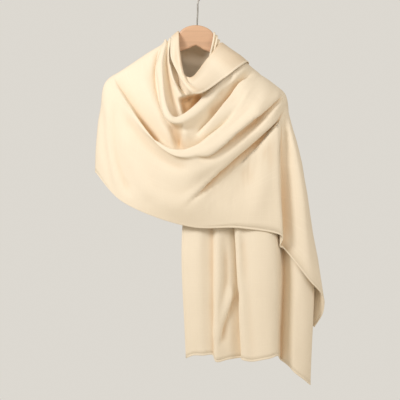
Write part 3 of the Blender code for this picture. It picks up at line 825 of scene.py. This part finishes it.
def new_group(name, inputs, outputs):
    """An empty shader node group, with its input and output nodes."""
    group = bpy.data.node_groups.new(name, "ShaderNodeTree")
    for socket, kind in inputs:
        group.interface.new_socket(socket, in_out="INPUT", socket_type=kind)
    for socket, kind in outputs:
        group.interface.new_socket(socket, in_out="OUTPUT", socket_type=kind)
    return group, group.nodes.new("NodeGroupInput"), group.nodes.new("NodeGroupOutput")


def set_socket(tree, socket, value):
    """Gives a socket a value, or a link where the value is a socket itself."""
    if isinstance(value, bpy.types.NodeSocket):
        tree.links.new(value, socket)
    else:
        socket.default_value = value


def add_node(tree, kind, **values):
    """A node whose inputs are set by name, with spaces written as underscores, and whose attributes are set
    by their own name."""
    node = tree.nodes.new(kind)
    for name, value in values.items():
        socket = node.inputs.get(name.replace("_", " "))
        if socket is None:
            setattr(node, name, value)
        else:
            set_socket(tree, socket, value)
    return node


def math_node(tree, operation, first, second=0.0):
    node = tree.nodes.new("ShaderNodeMath")
    node.operation = operation
    for socket, value in zip(node.inputs, (first, second)):
        set_socket(tree, socket, value)
    return node.outputs[0]


def mix_colors(tree, factor, first, second, how="MIX"):
    """The socket of a mix of two colours. A Mix node has like-named sockets for other kinds of value."""
    mix = add_node(tree, "ShaderNodeMix", data_type="RGBA", blend_type=how, Factor=factor)
    for name, value in (("A", first), ("B", second)):
        set_socket(tree, next(s for s in mix.inputs if s.name == name and s.type == "RGBA"), value)
    return next(s for s in mix.outputs if s.type == "RGBA")


def pattern(tree, vector, name, turn=0.0):
    """One of the noise patterns, turned about z."""
    scale, detail = PATTERNS[name]
    mapping = add_node(tree, "ShaderNodeMapping", Vector=vector, Scale=scale, Rotation=(0.0, 0.0, turn))
    texture = add_node(tree, "ShaderNodeTexNoise", Vector=mapping.outputs[0], Scale=1.0, Detail=detail)
    return texture.outputs[0]


def map_range(tree, value, span, target=(0.0, 1.0)):
    """A value that goes from one end of the target to the other while the given one goes over its span."""
    node = add_node(tree, "ShaderNodeMapRange", Value=value)
    for end, source, result in zip(("Min", "Max"), span, target):
        node.inputs["From " + end].default_value = source
        node.inputs["To " + end].default_value = result
    return node.outputs[0]


def tinted(color, tint):
    """An opaque colour: a plain one multiplied by a tint, which is one number or one for each channel."""
    return (*np.minimum(np.array(color) * tint, 1.0), 1.0)


def color_ramp(tree, value, color, tints):
    """A colour that is multiplied by one tint at a low value and by another at a high one."""
    ramp = add_node(tree, "ShaderNodeValToRGB", Fac=value)
    for stop, (position, tint) in zip(ramp.color_ramp.elements, tints):
        stop.position = position
        stop.color = tinted(color, tint)
    return ramp.outputs[0]


def weave_group():
    """Plain weave on a map in metres: its height, and a shade that is high on thick threads and low in the
    gaps between threads. The thick threads' tone is their own; the low shade where the weave lies lower is
    painted shade."""
    group, given, made = new_group(
        WEAVE,
        (("Map", "NodeSocketVector"), ("Threads", "NodeSocketFloat")),
        (("Height", "NodeSocketFloat"), ("Shade", "NodeSocketFloat")),
    )
    flat = given.outputs["Map"]
    wander = math_node(group, "MULTIPLY", pattern(group, flat, "thread_wander"), THREAD_WANDER)
    separate = add_node(group, "ShaderNodeSeparateXYZ", Vector=flat)
    waves = []
    for axis in ("X", "Y"):
        along = math_node(group, "MULTIPLY", separate.outputs[axis], given.outputs["Threads"])
        along = math_node(group, "MULTIPLY", along, math.pi)
        waves.append(math_node(group, "SINE", math_node(group, "ADD", along, wander)))
    checks = math_node(group, "MULTIPLY", *waves)
    warp, weft = (
        map_range(group, pattern(group, flat, name), THICK_SPAN) for name in ("thick_warp", "thick_weft")
    )
    thick = math_node(group, "MAXIMUM", warp, weft)
    height = math_node(group, "ADD", math_node(group, "MULTIPLY", checks, CHECK_HEIGHT), thick)
    plain_shade, painted_check_shade, thick_shade = WEAVE_SHADE
    # The checks' share of the shade is painted light and shade: lighter where the weave stands up, darker
    # where it lies low.
    shade = math_node(group, "ADD", math_node(group, "MULTIPLY", checks, painted_check_shade), plain_shade)
    shade = math_node(group, "ADD", shade, math_node(group, "MULTIPLY", thick, thick_shade))
    group.links.new(height, made.inputs["Height"])
    group.links.new(shade, made.inputs["Shade"])
    return group


def new_material(name):
    """A material, its node tree and its Principled shader."""
    material = bpy.data.materials.new(name)
    material.use_nodes = True
    return material, material.node_tree, material.node_tree.nodes["Principled BSDF"]


def dress_shader(tree, shader, color, roughness, finish, height=None, bump=(0.0, 0.0)):
    """Gives a Principled shader its colour, its roughness, the constants of its finish and its relief."""
    tree.links.new(color, shader.inputs["Base Color"])
    tree.links.new(roughness, shader.inputs["Roughness"])
    for name, value in finish.items():
        shader.inputs[name].default_value = value
    if height is not None:
        strength, distance = bump
        relief = add_node(tree, "ShaderNodeBump", Strength=strength, Distance=distance, Height=height)
        tree.links.new(relief.outputs[0], shader.inputs["Normal"])


def linen_material(name, look, darker=1.0):
    """Fine plain-weave linen, with thicker threads here and there and no gloss, and golden shade painted into
    its hollows.
    """
    material, tree, shader = new_material(name)
    flat = add_node(tree, "ShaderNodeUVMap", uv_map=CLOTH_MAP).outputs[0]
    group = bpy.data.node_groups.get(WEAVE) or weave_group()
    weave = add_node(tree, "ShaderNodeGroup", node_tree=group)
    tree.links.new(flat, weave.inputs["Map"])
    weave.inputs["Threads"].default_value = THREADS
    dye = map_range(tree, pattern(tree, flat, "uneven_dye"), NOISE_SPAN, DYE_SHADE)
    tone = math_node(tree, "ADD", weave.outputs["Shade"], dye)
    linen = [channel * darker for channel in look.linen]
    cloth = mix_colors(tree, tone, tinted(linen, GAP_SHADE_TINT), tinted(linen, THREAD_TINT))
    # Golden shade painted into the hollows, darkening the linen's colour there.
    hollow = add_node(tree, "ShaderNodeAttribute", attribute_name=PAINTED_SHADE_ATTRIBUTE)
    golden = math_node(tree, "MULTIPLY", hollow.outputs["Fac"], look.painted_shade_strength)
    color = mix_colors(tree, golden, cloth, (*PAINTED_SHADE_TINT, 1.0), "MULTIPLY")
    roughness = map_range(tree, weave.outputs["Shade"], WEAVE_SPAN, LINEN_ROUGHNESS)
    dress_shader(tree, shader, color, roughness, LINEN_FINISH, weave.outputs["Height"], LINEN_BUMP)
    return material


def wood_material(look):
    """Smooth, clear-finished beech, with fine grain along the bar and its short dark flecks."""
    material, tree, shader = new_material("beech")
    here = add_node(tree, "ShaderNodeTexCoord").outputs["Object"]
    grain, flecks, bands = (
        pattern(tree, here, name, GRAIN_TURN) for name in ("wood_grain", "wood_flecks", "wood_bands")
    )
    flecks = map_range(tree, flecks, FLECK_SPAN)
    grain_weight, band_weight, fleck_weight = WOOD_TONE
    tone = math_node(tree, "MULTIPLY", grain, grain_weight)
    tone = math_node(tree, "ADD", tone, math_node(tree, "MULTIPLY", bands, band_weight))
    tone = math_node(tree, "SUBTRACT", tone, math_node(tree, "MULTIPLY", flecks, fleck_weight))
    color = color_ramp(tree, tone, look.wood, WOOD_TINTS)
    roughness = map_range(tree, grain, NOISE_SPAN, WOOD_ROUGHNESS)
    dress_shader(tree, shader, color, roughness, WOOD_FINISH, grain, WOOD_BUMP)
    return material


def wire_material(look):
    """Drawn steel wire, with fine lines along its stem."""
    material, tree, shader = new_material("wire")
    here = add_node(tree, "ShaderNodeTexCoord").outputs["Object"]
    lines = pattern(tree, here, "drawn_lines")
    color = color_ramp(tree, lines, look.wire, WIRE_TINTS)
    dress_shader(tree, shader, color, map_range(tree, lines, NOISE_SPAN, WIRE_ROUGHNESS), WIRE_FINISH)
    return material


def color_property(name, description, default):
    return FloatVectorProperty(name=name, description=description, default=default, subtype="COLOR", size=3)


class ScarfLook(bpy.types.PropertyGroup):
    """Sizes and colours of the scarf and its hanger."""

    thickness: FloatProperty(
        name="Cloth",
        description="Thickness of the linen",
        default=0.001,
        min=0.0003,
        precision=4,
        unit="LENGTH",
    )
    linen: color_property("Linen", "Colour of the linen", (0.89, 0.79, 0.64))
    # How strongly golden shade is painted into the linen's hollows.
    painted_shade_strength: FloatProperty(
        name="Warmth",
        description="How golden the linen glows in its hollows",
        default=0.8,
        min=0,
        max=1,
        subtype="FACTOR",
    )
    wood: color_property("Wood", "Colour of the hanger's beech", (0.69, 0.43, 0.27))
    wire: color_property("Wire", "Colour of the hook's wire", (0.26, 0.245, 0.22))
    bounce: color_property("Room light", "Colour of the light from the room", (0.515, 0.46, 0.38))
    backdrop: color_property("Backdrop", "Colour of the wall behind", (0.72, 0.69, 0.635))


class SCARF_OT_cloth(bpy.types.Operator):
    """Make the scarf, its narrow hems and their stitches"""

    bl_idname = "scarf.cloth"
    bl_label = "Scarf"

    def execute(self, context):
        look = context.scene.scarf_look
        sheet, sunk = scarf_sheet()
        normals = sheet_normals(sheet)
        flat = cloth_map(sheet)
        # The sheet carries how much shade is painted into its hollows.
        scarf = grid_object("scarf", sheet, flat, hollow=painted_shade_share(sheet, normals, sunk))
        add_wall(scarf, look.thickness)
        scarf.data.materials.append(linen_material("linen", look))
        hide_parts("front_tail", "back_stretch", "front_drape", "shoulder_tail")

        # Each hem's edge of the sheet, and the row or column of points beside it.
        edges = {
            "hem_neck_side": (np.s_[:, 0], np.s_[:, 1]),
            "hem_lower_side": (np.s_[:, -1], np.s_[:, -2]),
            "hem_front_end": (np.s_[0], np.s_[1]),
            "hem_back_end": (np.s_[-1], np.s_[-2]),
        }
        sewn_on = []
        lines = []
        for name, (edge, inner) in edges.items():
            hem, inwards = add_hem(name, sheet[edge], sheet[inner], normals[edge], flat[edge])
            sewn_on.append(hem)
            lines.append((sheet[edge], inwards, normals[edge]))
        sewn_on.append(add_stitches("hem_stitches", lines))
        hem_linen = linen_material("hem_linen", look, HEM_SHADE)
        for piece in sewn_on:
            piece.data.materials.append(hem_linen)
        for piece in (scarf, *sewn_on):
            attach(piece, ROOT)
        return {"FINISHED"}


class SCARF_OT_hanger(bpy.types.Operator):
    """Finish the hanger's wood and wire"""

    bl_idname = "scarf.hanger"
    bl_label = "Hanger"

    def execute(self, context):
        look = context.scene.scarf_look
        for node, material in (("hanger_bar", wood_material(look)), ("hanger_hook", wire_material(look))):
            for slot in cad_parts[node].material_slots:
                slot.material = material
        return {"FINISHED"}


def light_room(scene, look):
    """Soft light from all round. The camera sees the wall's colour instead."""
    world = bpy.data.worlds.new("studio")
    world.use_nodes = True
    tree = world.node_tree
    seen = tree.nodes.new("ShaderNodeLightPath").outputs["Is Camera Ray"]
    color = mix_colors(tree, seen, (*look.bounce, 1.0), (*look.backdrop, 1.0))
    tree.links.new(color, tree.nodes["Background"].inputs["Color"])
    scene.world = world


def add_floor(scene):
    mesh = bpy.data.meshes.new("floor")
    disc = bmesh.new()
    bmesh.ops.create_circle(disc, cap_ends=True, segments=FLOOR_SIDES, radius=FLOOR_RADIUS)
    bmesh.ops.translate(disc, verts=disc.verts, vec=(0.0, 0.0, FLOOR_Z))
    disc.to_mesh(mesh)
    disc.free()
    floor = bpy.data.objects.new("floor", mesh)
    scene.collection.objects.link(floor)
    pale, _, shader = new_material("floor")
    shader.inputs["Base Color"].default_value = (*FLOOR_COLOR, 1.0)
    mesh.materials.append(pale)


def add_camera(scene, middle):
    """The camera, straight in front of the middle of the view."""
    data = bpy.data.cameras.new("camera")
    data.sensor_width = SENSOR
    data.lens = SENSOR * (VIEW_DISTANCE - SCALE_AHEAD) / (IMAGE_WIDTH * PIXEL * MM)
    camera = bpy.data.objects.new("camera", data)
    scene.collection.objects.link(camera)
    camera.location = middle - Vector((0.0, VIEW_DISTANCE, 0.0))
    camera.rotation_euler = (math.radians(90), 0.0, 0.0)
    scene.camera = camera


def add_lights(scene, middle):
    """Round soft lights, turned towards the middle of the view."""
    for name, location, diameter, power in LIGHTS:
        light = bpy.data.lights.new(name, "AREA")
        light.shape = "DISK"
        light.size = diameter
        light.energy = power
        lamp = bpy.data.objects.new(name, light)
        scene.collection.objects.link(lamp)
        lamp.location = location
        lamp.rotation_euler = (middle - lamp.location).to_track_quat("-Z", "Y").to_euler()


class SCARF_OT_stage(bpy.types.Operator):
    """Make the floor, the lights and the camera"""

    bl_idname = "scarf.stage"
    bl_label = "Stage"

    def execute(self, context):
        scene = context.scene
        scene.view_settings.view_transform = "Standard"
        light_room(scene, scene.scarf_look)
        add_floor(scene)
        middle = Vector(place(VIEW_MIDDLE))
        add_camera(scene, middle)
        add_lights(scene, middle)
        return {"FINISHED"}


class SCARF_PT_panel(bpy.types.Panel):
    """Lists the scarf's steps and its sizes and colours"""

    bl_idname = "SCARF_PT_panel"
    bl_label = "Linen scarf"
    bl_space_type = "VIEW_3D"
    bl_region_type = "UI"
    bl_category = "Scarf"

    def draw(self, context):
        look = context.scene.scarf_look
        for name in ("thickness", "linen", "painted_shade_strength", "wood", "wire", "bounce", "backdrop"):
            self.layout.prop(look, name)
        for step in STEPS:
            self.layout.operator(step.bl_idname)


STEPS = (SCARF_OT_cloth, SCARF_OT_hanger, SCARF_OT_stage)
CLASSES = (ScarfLook, *STEPS, SCARF_PT_panel)


def register():
    for cls in CLASSES:
        bpy.utils.register_class(cls)
    bpy.types.Scene.scarf_look = PointerProperty(type=ScarfLook)


def unregister():
    del bpy.types.Scene.scarf_look
    for cls in reversed(CLASSES):
        bpy.utils.unregister_class(cls)


def main():
    register()
    bpy.ops.scarf.cloth()
    bpy.ops.scarf.hanger()
    bpy.ops.scarf.stage()


if __name__ == "__main__":
    main()
